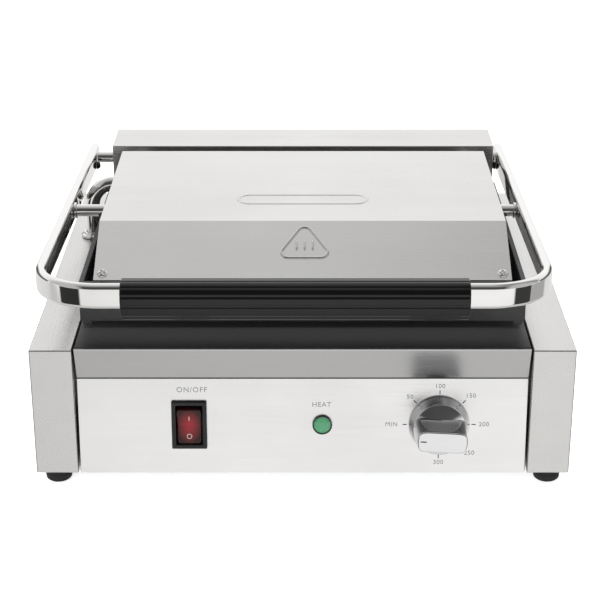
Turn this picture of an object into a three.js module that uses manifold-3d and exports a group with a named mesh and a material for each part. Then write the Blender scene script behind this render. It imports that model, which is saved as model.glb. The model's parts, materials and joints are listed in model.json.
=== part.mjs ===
// Electric contact grill with a counterbalanced, floating top plate.
// Millimetres, +Z up. The front faces -Y and the origin is under the centre of the whole object.
import * as THREE from 'three';
import { mergeVertices } from 'three/addons/utils/BufferGeometryUtils.js';
import Module from 'manifold-3d';

const wasm = await Module();
wasm.setup();

// ---- driving sizes -------------------------------------------------------------------------
const overallWidth = 410;      // over both side pods
const podWidth = 32.5;
const podDepth = 354;
const podHeight = 104;
const footHeight = 12;
const sheet = 1.2;             // folded stainless steel
const touchGap = 0.3;          // between pieces that touch
const runGap = 0.4;            // between a turning or sliding piece and its seat

const panelTilt = 0.084;       // the control panel leans back, radians
const panelTop = -26.6;        // top edge of the panel, from the top of the pods
const panelGap = 1.7;          // each side of the panel

const plateRise = 2;           // cooking surface above the pods
const plateThickness = 12;
const lowerPlateBack = 280;
const cookGap = 5.7;           // between the two plates when closed

const upperPlateFront = 36;
const upperPlateBack = 271;
const upperPlateInset = 2.5;   // each side, inside the gap between the pods
const upperPlateTop = 40;      // rim of the casting, from the top of the pods
const upperSlab = 11;
const castWall = 4;
const ribPitch = 8;
const ribDepth = 1.5;

const lidInset = 11;           // each side, inside the upper plate
const lidFront = 40;
const lidCrease = 95;
const lidTop = 68;             // from the top of the pods

const hingeY = 338;
const hingeRise = 40.5;        // from the top of the pods
const shaftRadius = 5;
const rodY = 171;
const rodRise = 49;
const rodRadius = 5;

const armClearLeft = 18.8;       // from the rear housing to each arm; the conduit passes on the left
const armClearRight = 6;
const barThickness = 8;
const barHeight = 19;
const barEdge = 3.6;           // rounding of the bar's edges
const handleFront = -32;
const handleCorner = 50;
const handleSlope = 0.046;    // the arms rise to the front, radians
const armCentreRise = 39.4;    // arm centre line at the hinge, from the top of the pods
const armTail = 16;            // arm past the hinge axis
const gripLength = 250;
const gripSize = 24;
const gripKeel = 1.45;         // the sleeve's lower half is this much deeper than the upper

const housingFront = 298;
const hingeCover = 23.5;       // housing above the hinge axis
const housingInset = 1.5;      // each side, inside the gap between the pods
const housingChamfer = 4.3;

const switchX = -86.5;
const lampX = 15;
const knobX = 104.2;
const controlRise = 40;      // control centres, up the panel from its lower edge
const knobRadius = 23.2;
const knobLength = 36;

const conduitOut = 11.1;       // from the pod's inner side to the conduit's axis
const conduitSetback = 30;     // conduit in front of the cover's back
const conduitRadius = 6.25;
const conduitBend = 20;
const conduitReserve = 62;     // length kept inside the pod
const conduitRise = 48.5;

// ---- derived places ------------------------------------------------------------------------
const halfWidth = overallWidth / 2;
const innerHalf = halfWidth - podWidth;
const upperPlateHalfWidth = innerHalf - upperPlateInset;
const lidHalfWidth = upperPlateHalfWidth - lidInset;
const housingHalfWidth = innerHalf - housingInset;
const armLeft = -housingHalfWidth - armClearLeft - barThickness;   // outer faces of the arms
const armRight = housingHalfWidth + armClearRight + barThickness;
const conduitX = -innerHalf - conduitOut;
const conduitY = upperPlateBack - conduitSetback;
const podBottom = footHeight;
const podTop = footHeight + podHeight;
const surfaceZ = podTop + plateRise;
const plateBottomZ = surfaceZ - plateThickness;
const upperBottomZ = surfaceZ + cookGap;
const upperTopZ = podTop + upperPlateTop;
const lidBottomZ = upperTopZ + runGap;
const lidTopZ = podTop + lidTop;
const hingeZ = podTop + hingeRise;
const housingTop = hingeZ + hingeCover;
const rodZ = podTop + rodRise;
const conduitZ = podTop + conduitRise;
const glandLength = 9;
const gripCentreY = handleFront + barThickness / 2;
const frontMost = gripCentreY - gripSize / 2;
const depthCentre = (frontMost + podDepth + glandLength) / 2;

// ---- finishes ------------------------------------------------------------------------------
const finishes = {
  brushedSteel: [0xcfcfcf, 0.35, 1],
  polishedSteel: [0xe4e4e4, 0.08, 1],
  castIron: [0x2b2b2b, 0.6, 0.3],
  galvanised: [0xa9adb0, 0.45, 1],
  blackPlastic: [0x141414, 0.4, 0],
  rubber: [0x262626, 0.85, 0],
  redLens: [0x7a1418, 0.25, 0],
  greenLens: [0x3f9a6a, 0.25, 0],
  silverPlastic: [0xbfc1c3, 0.2, 0.8],
  heater: [0x6d6862, 0.5, 0.8],
  springSteel: [0x8b8e92, 0.4, 1],
  mineralWool: [0xb8ab8c, 0.95, 0],
  ceramic: [0xe6e0d2, 0.5, 0],
  copper: [0xb4693f, 0.35, 1],
};

function finish(name) {
  const [color, roughness, metalness] = finishes[name];
  return new THREE.MeshStandardMaterial({ color, roughness, metalness });
}

// ---- solids --------------------------------------------------------------------------------
function toSolid(geometry) {
  geometry.deleteAttribute('normal');
  geometry.deleteAttribute('uv');
  const merged = mergeVertices(geometry, 1e-5);
  return new wasm.Manifold(new wasm.Mesh({
    numProp: 3,
    vertProperties: Float32Array.from(merged.attributes.position.array),
    triVerts: Uint32Array.from(merged.index.array),
  }));
}

function toGeometry(solid) {
  const mesh = solid.getMesh();
  const geometry = new THREE.BufferGeometry();
  geometry.setAttribute('position', new THREE.BufferAttribute(mesh.vertProperties, 3));
  geometry.setIndex(new THREE.BufferAttribute(mesh.triVerts, 1));
  geometry.computeVertexNormals();
  return geometry;
}

// Box between two corners.
function block(low, high) {
  const size = high.map((value, axis) => value - low[axis]);
  const geometry = new THREE.BoxGeometry(...size);
  geometry.translate(...low.map((value, axis) => value + size[axis] / 2));
  return toSolid(geometry);
}

// Round bar between two values along one axis; centre holds the other two coordinates in order.
function bar(axis, radius, from, to, centre, sides = 24) {
  const geometry = new THREE.CylinderGeometry(radius, radius, to - from, sides);
  const middle = (from + to) / 2;
  if (axis === 'x') {
    geometry.rotateZ(Math.PI / 2).translate(middle, centre[0], centre[1]);
  } else if (axis === 'y') {
    geometry.translate(centre[0], middle, centre[1]);
  } else {
    geometry.rotateX(Math.PI / 2).translate(centre[0], centre[1], middle);
  }
  return toSolid(geometry);
}

// Outline in Y and Z, carried along X between two values.
function alongX(points, from, to) {
  const shape = new THREE.Shape(points.map(([y, z]) => new THREE.Vector2(y, z)));
  const geometry = new THREE.ExtrudeGeometry(shape, { depth: to - from, bevelEnabled: false });
  geometry.applyMatrix4(new THREE.Matrix4().set(0, 0, 1, from, 1, 0, 0, 0, 0, 1, 0, 0, 0, 0, 0, 1));
  return toSolid(geometry);
}

// Outline in X and Z, carried along Y between two values.
function alongY(points, from, to) {
  const shape = new THREE.Shape(points.map(([x, z]) => new THREE.Vector2(x, z)));
  const geometry = new THREE.ExtrudeGeometry(shape, { depth: to - from, bevelEnabled: false });
  geometry.rotateX(Math.PI / 2).translate(0, to, 0);
  return toSolid(geometry);
}

// Turned piece: profile of [radius, height] from the axis and back to it, axis along Y.
function turned(profile, sides = 32) {
  const points = profile.map(([radius, height]) => new THREE.Vector2(radius, height));
  return new THREE.LatheGeometry(points, sides);
}

// Tube of a given wire radius along a curve.
function wire(curve, radius, steps, sides = 8) {
  const section = new THREE.Shape().absarc(0, 0, radius, 0, 2 * Math.PI);
  return new THREE.ExtrudeGeometry(section, {
    extrudePath: curve, steps, curveSegments: sides / 2, bevelEnabled: false,
  });
}

function add(parent, name, form, finishName) {
  const geometry = form.isBufferGeometry ? form : toGeometry(form);
  const mesh = new THREE.Mesh(geometry, finish(finishName));
  mesh.name = name;
  parent.add(mesh);
  return mesh;
}

const grill = new THREE.Group();
grill.position.y = -depthCentre;
const sides = [['left', -1], ['right', 1]];

// Low and high of an interval mirrored to the chosen side.
function span(sign, near, far) {
  return sign > 0 ? [near, far] : [-far, -near];
}

// ---- side pods and feet --------------------------------------------------------------------
const footInset = 16;
const footRadius = 10;
const footScrewRadius = 2;
const podHatch = { front: 60, back: 300, low: 20, high: 80 };

for (const [side, sign] of sides) {
  const [x0, x1] = span(sign, innerHalf, halfWidth);
  const [wall0, wall1] = span(sign, innerHalf - sheet, innerHalf + 2 * sheet);
  let pod = block([x0, 0, podBottom], [x1, podDepth, podTop])
    .subtract(block([x0 + sheet, sheet, podBottom + sheet],
      [x1 - sheet, podDepth - sheet, podTop - sheet]))
    .subtract(block([wall0, podHatch.front, podBottom + podHatch.low],
      [wall1, podHatch.back, podBottom + podHatch.high]));
  if (side === 'left') {
    pod = pod.subtract(bar('z', conduitRadius + runGap, podTop - 3 * sheet, podTop + sheet,
      [conduitX, conduitY]));
  }
  const footX = sign * (halfWidth - podWidth / 2 + 1.5);
  for (const [end, footY] of [['front', footInset], ['rear', podDepth - footInset]]) {
    pod = pod.subtract(bar('z', footScrewRadius + touchGap, podBottom - sheet, podBottom + 3 * sheet,
      [footX, footY], 12));
    const foot = turned([
      [0, 0], [footRadius - 1.5, 0], [footRadius, 2], [footRadius + 1, footHeight - touchGap],
      [footScrewRadius, footHeight - touchGap], [footScrewRadius, footHeight + 5], [0, footHeight + 5],
    ], 24);
    foot.rotateX(Math.PI / 2).translate(footX, footY, 0);
    add(grill, `foot_${end}_${side}`, foot, 'rubber');
  }
  add(grill, `side_pod_${side}`, pod, 'brushedSteel');
}

// ---- base pan, back panel and cable entry --------------------------------------------------
const panHalf = innerHalf - touchGap - 0.7;
const panFlange = 10;
const slotLength = 60;
const slotWidth = 4;
const glandX = 120;
const glandZ = podBottom + 30;
const glandBore = 4.5;

let pan = block([-panHalf, 3, podBottom + touchGap], [panHalf, podDepth - 3, podBottom + panFlange])
  .subtract(block([-panHalf + sheet, 3 + sheet, podBottom + touchGap + sheet],
    [panHalf - sheet, podDepth - 3 - sheet, podBottom + 2 * panFlange]));
for (const x of [-100, 0, 100]) {
  for (let row = 0; row < 5; row += 1) {
    const y = 130 + row * 24;
    pan = pan.subtract(block([x - slotLength / 2, y, podBottom - sheet],
      [x + slotLength / 2, y + slotWidth, podBottom + 4 * sheet]));
  }
}
add(grill, 'base_pan', pan, 'galvanised');

let backPanel = block([-housingHalfWidth, podDepth - sheet, podBottom + touchGap],
  [housingHalfWidth, podDepth, podTop])
  .subtract(bar('y', 8 + touchGap, podDepth - 3 * sheet, podDepth + sheet, [glandX, glandZ]));
for (let column = -4; column <= 1; column += 1) {
  for (let row = 0; row < 4; row += 1) {
    const x = column * 32;
    const z = podBottom + 48 + row * 10;
    backPanel = backPanel.subtract(block([x - 12, podDepth - 3 * sheet, z],
      [x + 12, podDepth + sheet, z + slotWidth]));
  }
}
add(grill, 'back_panel', backPanel, 'brushedSteel');

const gland = turned([
  [glandBore, -12], [8, -12], [8, touchGap], [12, touchGap], [12, 3.5], [8.5, 4.5],
  [7.5, glandLength], [glandBore, glandLength], [glandBore, -12],
], 24);
gland.translate(glandX, podDepth, glandZ);
add(grill, 'cable_gland', gland, 'blackPlastic');

let terminals = block([60, 300, podBottom + 12], [96, 318, podBottom + 30]);
for (const x of [66, 78, 90]) {
  terminals = terminals.subtract(bar('z', 3, podBottom + 18, podBottom + 40, [x, 309], 12));
}
add(grill, 'terminal_block', terminals, 'ceramic');

// ---- lower plate with its heater, shield and sensor ----------------------------------------
const plateHalf = innerHalf - 1.8;
const bandTop = 1.6;           // rim of the drip tray, from the top of the pods
const bandFront = -1;
const bandFoot = 7.4;          // how far back the band's lower edge sits
const bandDrop = -26.2;
const bandSlope = (bandFoot - bandFront) / (bandTop - bandDrop);
const plateLip = 0.9;
const trayBack = 80;

const plateChin = plateLip + 0.6 + bandSlope * plateThickness;
add(grill, 'lower_plate', alongX([
  [plateLip, surfaceZ], [plateLip, surfaceZ - 1], [plateChin, plateBottomZ],
  [lowerPlateBack, plateBottomZ], [lowerPlateBack, surfaceZ],
], -plateHalf, plateHalf), 'castIron');

const heaterRadius = 4;
const heaterMargin = 42;
function heaterCurve(z, front, back, reach, runs) {
  const path = new THREE.CurvePath();
  const pitch = (back - front) / (runs - 1);
  const bend = pitch / 2;
  for (let run = 0; run < runs; run += 1) {
    const y = front + run * pitch;
    const sign = run % 2 === 0 ? 1 : -1;
    path.add(new THREE.LineCurve3(new THREE.Vector3(-sign * reach, y, z),
      new THREE.Vector3(sign * reach, y, z)));
    if (run < runs - 1) {
      const handle = bend * 1.333;
      path.add(new THREE.CubicBezierCurve3(new THREE.Vector3(sign * reach, y, z),
        new THREE.Vector3(sign * (reach + handle), y, z),
        new THREE.Vector3(sign * (reach + handle), y + pitch, z),
        new THREE.Vector3(sign * reach, y + pitch, z)));
    }
  }
  return path;
}

const lowerHeaterZ = plateBottomZ - heaterRadius - touchGap;
add(grill, 'lower_heater', wire(heaterCurve(lowerHeaterZ, trayBack + 30, lowerPlateBack - 30,
  115, 4), heaterRadius, 60, 6), 'heater');

const shieldHalf = innerHalf - 8;
add(grill, 'heat_shield', block([-shieldHalf, trayBack + 12, podTop - 50],
  [shieldHalf, lowerPlateBack + 12, podTop - 22])
  .subtract(block([-shieldHalf + 1, trayBack + 13, podTop - 49],
    [shieldHalf - 1, lowerPlateBack + 11, podTop - 10])), 'galvanised');

const bulbRadius = 3;
add(grill, 'thermostat_bulb', bar('x', bulbRadius, -50, 40, [180, plateBottomZ - bulbRadius - touchGap], 16),
  'copper');

add(grill, 'rear_splash_strip', alongX([
  [lowerPlateBack + 0.6, surfaceZ - 1], [lowerPlateBack + 0.6, surfaceZ - 1 - sheet],
  [housingFront - touchGap, surfaceZ - 1 - sheet], [housingFront - touchGap, surfaceZ + 9],
  [housingFront - touchGap - sheet, surfaceZ + 9], [housingFront - touchGap - sheet, surfaceZ - 1],
], -plateHalf, plateHalf), 'brushedSteel');

// ---- drip tray: sloping front band, floor, back wall and ends ------------------------------
const trayHalf = innerHalf - 1.5;
const trayWell = innerHalf - 4;
const trayEnd = podTop - 14;
const rimZ = podTop + bandTop;
const floorZ = podTop + bandDrop;
const bandSkin = 1.1;
const tray = alongX([
  [bandFront, rimZ], [bandFront, rimZ - 1], [bandFoot, floorZ], [trayBack, floorZ],
  [trayBack, trayEnd], [trayBack - sheet, trayEnd], [trayBack - sheet, floorZ + sheet],
  [bandFoot + bandSkin * 0.6, floorZ + sheet], [bandFront + bandSkin + 0.2, rimZ - 1],
  [bandFront + bandSkin, rimZ],
], -trayHalf, trayHalf);
const trayTrim = block([-halfWidth, bandFoot + 4, floorZ - 1], [-trayWell, trayBack + 1, podTop])
  .add(block([trayWell, bandFoot + 4, floorZ - 1], [halfWidth, trayBack + 1, podTop]));
let trayBody = tray.subtract(trayTrim);
for (const [, sign] of sides) {
  const [x0, x1] = span(sign, trayWell - sheet, trayWell);
  trayBody = trayBody.add(alongX([
    [bandFoot - 1, floorZ + 4.2], [bandFoot + 0.6, floorZ + 0.3], [trayBack - 0.2, floorZ + 0.3],
    [trayBack - 0.2, trayEnd], [bandFoot - 3.4, trayEnd],
  ], x0, x1));
}
add(grill, 'drip_tray', trayBody, 'polishedSteel');

// ---- control panel, built upright and leant back with everything on it ---------------------
const panel = new THREE.Group();
panel.position.set(0, 0.5, podBottom + touchGap);
panel.rotation.x = -panelTilt;
grill.add(panel);

const panelHalf = innerHalf - panelGap;
const panelLength = (podHeight + panelTop - touchGap) / Math.cos(panelTilt);
const switchBody = [22, 33];
const switchFace = [26.8, 38.6];
const rockerWell = [20, 31.8];
const lampTube = 5.9;
const stemRadius = 3;

const switchCut = block([switchX - switchBody[0] / 2 - touchGap, -1, controlRise - switchBody[1] / 2 - touchGap],
  [switchX + switchBody[0] / 2 + touchGap, 5, controlRise + switchBody[1] / 2 + touchGap]);
add(panel, 'front_panel', block([-panelHalf, 0, 0], [panelHalf, sheet, panelLength])
  .add(block([-panelHalf, sheet / 2, panelLength - sheet], [panelHalf, 9, panelLength]))
  .subtract(switchCut)
  .subtract(bar('y', lampTube + touchGap, -1, 5, [lampX, controlRise]))
  .subtract(bar('y', stemRadius + 1, -1, 5, [knobX, controlRise])), 'brushedSteel');

// A box centred on the switch, from its front to its back along Y.
function aroundSwitch([width, height], from, to) {
  return block([switchX - width / 2, from, controlRise - height / 2],
    [switchX + width / 2, to, controlRise + height / 2]);
}
const bezelDepth = 2.6;
add(panel, 'switch_housing', aroundSwitch(switchFace, -bezelDepth, -touchGap)
  .add(aroundSwitch(switchBody, -2 * touchGap, 26))
  .subtract(aroundSwitch(rockerWell, -4, 14)), 'blackPlastic');

const rockerPivot = 6;
const rockerTravel = 0.24;     // from off to on, radians
const rocker = alongX([
  [-6.5, 0], [-9.5, 14.2], [-3, 15.2], [4, 15], [4, -15], [-3, -15.2], [-9.5, -14.2],
], -rockerWell[0] / 2 + runGap, rockerWell[0] / 2 - runGap);
const rockerMesh = add(panel, 'switch_rocker', rocker, 'redLens');
rockerMesh.position.set(switchX, rockerPivot, controlRise);
rockerMesh.rotation.x = rockerTravel / 2;

const lampSeat = 6.8;          // recess that the lens sits in
const lampBezel = turned([
  [lampTube - 0.7, -0.9], [lampSeat, -0.9], [lampSeat, -2.4], [lampSeat + 0.4, -2.4], [7.5, -2],
  [7.5, -touchGap], [lampTube, -touchGap], [lampTube, 14], [lampTube - 0.7, 14], [lampTube - 0.7, -0.9],
], 28);
lampBezel.translate(lampX, 0, controlRise);
add(panel, 'lamp_bezel', lampBezel, 'blackPlastic');

const lensRadius = lampTube - 0.7 - touchGap;
const lampLens = turned([
  [0, -2.4], [3.5, -2.3], [5.4, -2], [lampSeat - touchGap, -1.6], [lampSeat - touchGap, -1.2],
  [lensRadius, -1.2], [lensRadius, 12], [0, 12],
], 28);
lampLens.translate(lampX, 0, controlRise);
add(panel, 'lamp_lens', lampLens, 'greenLens');

const stemHole = bar('y', stemRadius + runGap, 0, 40, [0, 0], 20);
add(panel, 'thermostat_body', block([knobX - 17, sheet + touchGap, controlRise - 16],
  [knobX + 17, 30, controlRise + 16])
  .subtract(stemHole.translate(knobX, -5, controlRise)), 'ceramic');

const stem = turned([[0, -12], [stemRadius, -12], [stemRadius, 22], [0, 22]], 20);
stem.translate(knobX, 0, controlRise);
add(panel, 'thermostat_stem', stem, 'galvanised');

const skirtDepth = 11;
const gripBarHeight = 17.4;
const knobSkirt = toSolid(turned([
  [0, -skirtDepth], [knobRadius - 3.2, -skirtDepth], [knobRadius - 2, -skirtDepth + 1],
  [knobRadius, -1.6], [knobRadius, -0.6], [0, -0.6],
], 48));
const knobBar = toSolid(turned([
  [0, -knobLength], [knobRadius - 5, -knobLength], [knobRadius - 3.6, -knobLength + 1.4],
  [knobRadius - 3, -skirtDepth + 1], [0, -skirtDepth + 1],
], 48)).intersect(block([-knobRadius, -knobLength - 1, -gripBarHeight / 2],
  [knobRadius, 0, gripBarHeight / 2]));
const knob = knobSkirt.add(knobBar).subtract(bar('y', stemRadius + touchGap, -12.4, 1, [0, 0], 20));
const knobMesh = add(panel, 'thermostat_knob', knob, 'silverPlastic');
knobMesh.position.set(knobX, 0, controlRise);

// ---- rear housing, hinge brackets and balance springs --------------------------------------
const housingFoot = podTop + 0.4;
function housingOutline(inset) {
  return [
    [housingFront + inset, housingFoot], [housingFront + inset, housingTop - inset],
    [podDepth - housingChamfer - inset / 2, housingTop - inset],
    [podDepth - inset, housingTop - 2 * housingChamfer - inset / 2], [podDepth - inset, housingFoot],
  ];
}
const shaftBore = bar('x', shaftRadius + runGap, -halfWidth, halfWidth, [hingeY, hingeZ]);
const inside = housingHalfWidth - sheet;
const housingVoid = alongX(housingOutline(sheet), -inside, inside)
  .add(block([-inside, housingFront + sheet, housingFoot - 2], [inside, podDepth - sheet, housingFoot + 2]));
add(grill, 'rear_housing', alongX(housingOutline(0), -housingHalfWidth, housingHalfWidth)
  .subtract(housingVoid)
  .subtract(bar('x', shaftRadius + 3.4, -halfWidth, halfWidth, [hingeY, hingeZ])), 'brushedSteel');

add(grill, 'hinge_shaft', bar('x', shaftRadius, armLeft + barThickness + touchGap,
  armRight - barThickness - touchGap, [hingeY, hingeZ]), 'polishedSteel');

const bracketX = 152;
const bushFlange = 8;
const springStart = 62;
const springEnd = 118;
const springRadius = 8.6;
const springWire = 1.5;
const springTurns = 6;

class SpringCurve extends THREE.Curve {
  getPoint(t, target = new THREE.Vector3()) {
    const angle = 2 * Math.PI * springTurns * t;
    const x = springStart + (springEnd - springStart) * t;
    return target.set(x, hingeY - springRadius * Math.cos(angle), hingeZ + springRadius * Math.sin(angle));
  }
}

for (const [side, sign] of sides) {
  const [b0, b1] = span(sign, bracketX, bracketX + 4);
  add(grill, `hinge_bracket_${side}`, block([b0, hingeY - 15, podBottom + 2],
    [b1, podDepth - 3 - sheet - touchGap, hingeZ + 14])
    .subtract(shaftBore), 'galvanised');
  const bush = turned([
    [shaftRadius + runGap, 0], [shaftRadius + 3, 0], [shaftRadius + 3, 3],
    [bushFlange, 3], [bushFlange + 1.5, 3], [bushFlange + 1.5, 5], [shaftRadius + runGap, 5],
    [shaftRadius + runGap, 0],
  ], 24);
  bush.rotateZ(sign * Math.PI / 2).translate(sign * (inside + sheet + 1), hingeY, hingeZ);
  add(grill, `hinge_bush_${side}`, bush, 'blackPlastic');
  const spring = wire(new SpringCurve(), springWire, springTurns * 9, 6);
  const springMesh = add(grill, `balance_spring_${side}`, spring, 'springSteel');
  if (sign < 0) {
    springMesh.rotation.z = Math.PI;
    springMesh.position.y = 2 * hingeY;
  }
}

// ---- handle frame --------------------------------------------------------------------------
const frame = new THREE.Group();
frame.position.set(0, hingeY, podTop + armCentreRise);
frame.rotation.x = -handleSlope;
grill.add(frame);

// Plan of the bent bar, offset inward from its outer faces, in the frame's own plane.
const tailY = armTail;
const noseY = (handleFront - hingeY) / Math.cos(handleSlope);
function handleOutline() {
  const inner = handleCorner - barThickness;
  const end = barThickness / 2;
  const shape = new THREE.Shape();
  shape.moveTo(armLeft, tailY);
  shape.lineTo(armLeft, noseY + handleCorner);
  shape.absarc(armLeft + handleCorner, noseY + handleCorner, handleCorner, Math.PI, 1.5 * Math.PI, false);
  shape.lineTo(armRight - handleCorner, noseY);
  shape.absarc(armRight - handleCorner, noseY + handleCorner, handleCorner, 1.5 * Math.PI, 2 * Math.PI, false);
  shape.lineTo(armRight, tailY);
  shape.absarc(armRight - end, tailY, end, 0, Math.PI, false);
  shape.lineTo(armRight - barThickness, noseY + handleCorner);
  shape.absarc(armRight - handleCorner, noseY + handleCorner, inner, 0, -0.5 * Math.PI, true);
  shape.lineTo(armLeft + handleCorner, noseY + barThickness);
  shape.absarc(armLeft + handleCorner, noseY + handleCorner, inner, 1.5 * Math.PI, Math.PI, true);
  shape.lineTo(armLeft + barThickness, tailY);
  shape.absarc(armLeft + end, tailY, end, 0, Math.PI, false);
  return shape;
}
const handle = new THREE.ExtrudeGeometry(handleOutline(), {
  depth: barHeight - 2 * barEdge, curveSegments: 8,
  bevelThickness: barEdge, bevelSize: barEdge, bevelOffset: -barEdge, bevelSegments: 3,
});
handle.translate(0, 0, -barHeight / 2 + barEdge);
add(frame, 'handle_bar', handle, 'polishedSteel');

// Fluted sleeve: a rounded square whose sides carry shallow steps, drawn out below the bar.
function gripOutline() {
  const points = [];
  const count = 32;
  for (let index = 0; index < count; index += 1) {
    const angle = 2 * Math.PI * (index + 0.5) / count;
    const square = 1 / Math.max(Math.abs(Math.cos(angle)), Math.abs(Math.sin(angle)));
    const radius = gripSize / 2 * Math.min(square, 1.16) - (index % 4 === 0 ? 0.5 : 0);
    const rise = radius * Math.sin(angle);
    points.push([radius * Math.cos(angle), rise < 0 ? rise * gripKeel : rise]);
  }
  return points;
}
const gripMiddle = (armLeft + armRight) / 2 + 1.3;
const gripY = noseY + barThickness / 2;
const gripBore = block([-halfWidth, gripY - barThickness / 2 - touchGap, -barHeight / 2 - touchGap],
  [halfWidth, gripY + barThickness / 2 + touchGap, barHeight / 2 + touchGap]);
add(frame, 'handle_grip', alongX(gripOutline(), gripMiddle - gripLength / 2, gripMiddle + gripLength / 2)
  .translate(0, gripY, 0).subtract(gripBore), 'blackPlastic');

add(grill, 'cross_rod', bar('x', rodRadius, armLeft + barThickness + touchGap,
  armRight - barThickness - touchGap, [rodY, rodZ]), 'polishedSteel');

const collarLength = 2.4;
for (const [side, sign] of sides) {
  const face = sign > 0 ? armRight - barThickness : armLeft + barThickness;
  const collar = turned([
    [rodRadius + touchGap, 0], [rodRadius + 1.5, 0], [rodRadius + 1.5, collarLength],
    [rodRadius + touchGap, collarLength], [rodRadius + touchGap, 0],
  ], 24);
  collar.rotateZ(sign * Math.PI / 2).translate(face - sign * touchGap, rodY, rodZ);
  add(grill, `rod_collar_${side}`, collar, 'polishedSteel');
  const screw = turned([[0, 0], [3.6, 0], [3.4, 1.8], [2, 3.2], [0, 3.6]], 20);
  screw.rotateZ(sign * Math.PI / 2).translate(face - sign * touchGap, hingeY - 10.5, hingeZ - 4.5);
  add(grill, `arm_screw_${side}`, screw, 'blackPlastic');
}

// ---- top plate: ribbed casting with a rim, two rod lugs and two front stops -----------------
function ribOutline() {
  const points = [[-upperPlateHalfWidth, upperTopZ], [-upperPlateHalfWidth, upperBottomZ]];
  const ribs = Math.floor(2 * (upperPlateHalfWidth - 10) / ribPitch);
  const start = -ribs * ribPitch / 2;
  for (let rib = 0; rib < ribs; rib += 1) {
    const x = start + rib * ribPitch;
    points.push([x + 1, upperBottomZ], [x + 2, upperBottomZ + ribDepth],
      [x + ribPitch - 3, upperBottomZ + ribDepth], [x + ribPitch - 2, upperBottomZ]);
  }
  points.push([upperPlateHalfWidth, upperBottomZ], [upperPlateHalfWidth, upperTopZ]);
  return points;
}
const lugX = 141;
const stopDrop = 2.5;
const rodBore = bar('x', rodRadius + runGap, -halfWidth, halfWidth, [rodY, rodZ]);
let casting = alongY(ribOutline(), upperPlateFront, upperPlateBack)
  .subtract(block([-upperPlateHalfWidth + castWall, upperPlateFront + castWall, upperBottomZ + upperSlab],
    [upperPlateHalfWidth - castWall, upperPlateBack - castWall, upperTopZ + 1]));
for (const [, sign] of sides) {
  const [l0, l1] = span(sign, lugX, lugX + 9);
  const [s0, s1] = span(sign, upperPlateHalfWidth - 9, upperPlateHalfWidth - 2);
  casting = casting
    .add(block([l0, rodY - 11, upperBottomZ + upperSlab - 1], [l1, rodY + 11, rodZ]))
    .add(bar('x', 11, l0, l1, [rodY, rodZ]))
    .add(block([s0, upperPlateFront, upperBottomZ - stopDrop],
      [s1, upperPlateFront + 8, upperBottomZ + 1]));
}
add(grill, 'upper_plate', casting.subtract(rodBore), 'castIron');

const upperHeaterZ = upperBottomZ + upperSlab + heaterRadius + touchGap;
add(grill, 'upper_heater', wire(heaterCurve(upperHeaterZ, upperPlateFront + heaterMargin,
  upperPlateBack - heaterMargin, 95, 4), heaterRadius, 60, 6), 'heater');

const woolBottom = upperHeaterZ + heaterRadius + 1;
add(grill, 'lid_insulation', block([-130, lidFront + 14, woolBottom], [130, upperPlateBack - 10, rodZ - rodRadius - 2]),
  'mineralWool');

// ---- top cover -----------------------------------------------------------------------------
const lidBack = upperPlateBack;
function lidOutline(inset) {
  const slopeInset = inset * 0.25;
  return [
    [lidFront + inset, lidBottomZ], [lidFront + inset, lidBottomZ + slopeInset],
    [lidCrease + slopeInset, lidTopZ - inset], [lidBack - inset, lidTopZ - inset],
    [lidBack - inset, lidBottomZ],
  ];
}
function coverOutline() {
  const outline = lidOutline(0);
  return outline.filter((point, index) => index !== 1);
}
const lidInside = lidHalfWidth - sheet;
const coverVoid = alongX(lidOutline(sheet * 2), -lidInside, lidInside)
  .add(block([-lidInside, lidFront + 2 * sheet, lidBottomZ - 2],
    [lidInside, lidBack - sheet, lidBottomZ + touchGap]));
const conduitBore = bar('x', conduitRadius + runGap, -halfWidth, -lidHalfWidth + 10, [conduitY, conduitZ]);
add(grill, 'lid_cover', alongX(coverOutline(), -lidHalfWidth, lidHalfWidth)
  .subtract(coverVoid)
  .subtract(bar('x', rodRadius + 2.6, -halfWidth, halfWidth, [rodY, rodZ]))
  .subtract(conduitBore), 'brushedSteel');

const screwHead = [[0, 0], [4.2, 0], [4.1, 1.2], [2.7, 2.3], [0, 2.6]];
const slopeAngle = Math.atan2(lidTopZ - lidBottomZ, lidCrease - lidFront);
const screwUp = 6.5;           // up the slope from the front edge
for (const [side, sign] of sides) {
  const bush = turned([
    [rodRadius + runGap, 0], [rodRadius + 2.2, 0], [rodRadius + 2.2, 2.6], [rodRadius + 4, 2.6],
    [rodRadius + 4, 4.6], [rodRadius + runGap, 4.6], [rodRadius + runGap, 0],
  ], 24);
  bush.rotateZ(sign * Math.PI / 2).translate(sign * (lidHalfWidth + 0.6), rodY, rodZ);
  add(grill, `lid_bush_${side}`, bush, 'blackPlastic');
  const front = turned(screwHead, 20);
  front.translate(0, touchGap, 0).rotateX(Math.PI / 2 + slopeAngle);
  front.translate(sign * (lidHalfWidth - 6.5), lidFront + screwUp * Math.cos(slopeAngle),
    lidBottomZ + screwUp * Math.sin(slopeAngle));
  add(grill, `lid_screw_front_${side}`, front, 'polishedSteel');
  const rear = turned(screwHead, 20);
  rear.translate(sign * (lidHalfWidth - 12), lidBack + touchGap, lidBottomZ + 8);
  add(grill, `lid_screw_rear_${side}`, rear, 'polishedSteel');
}

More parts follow.
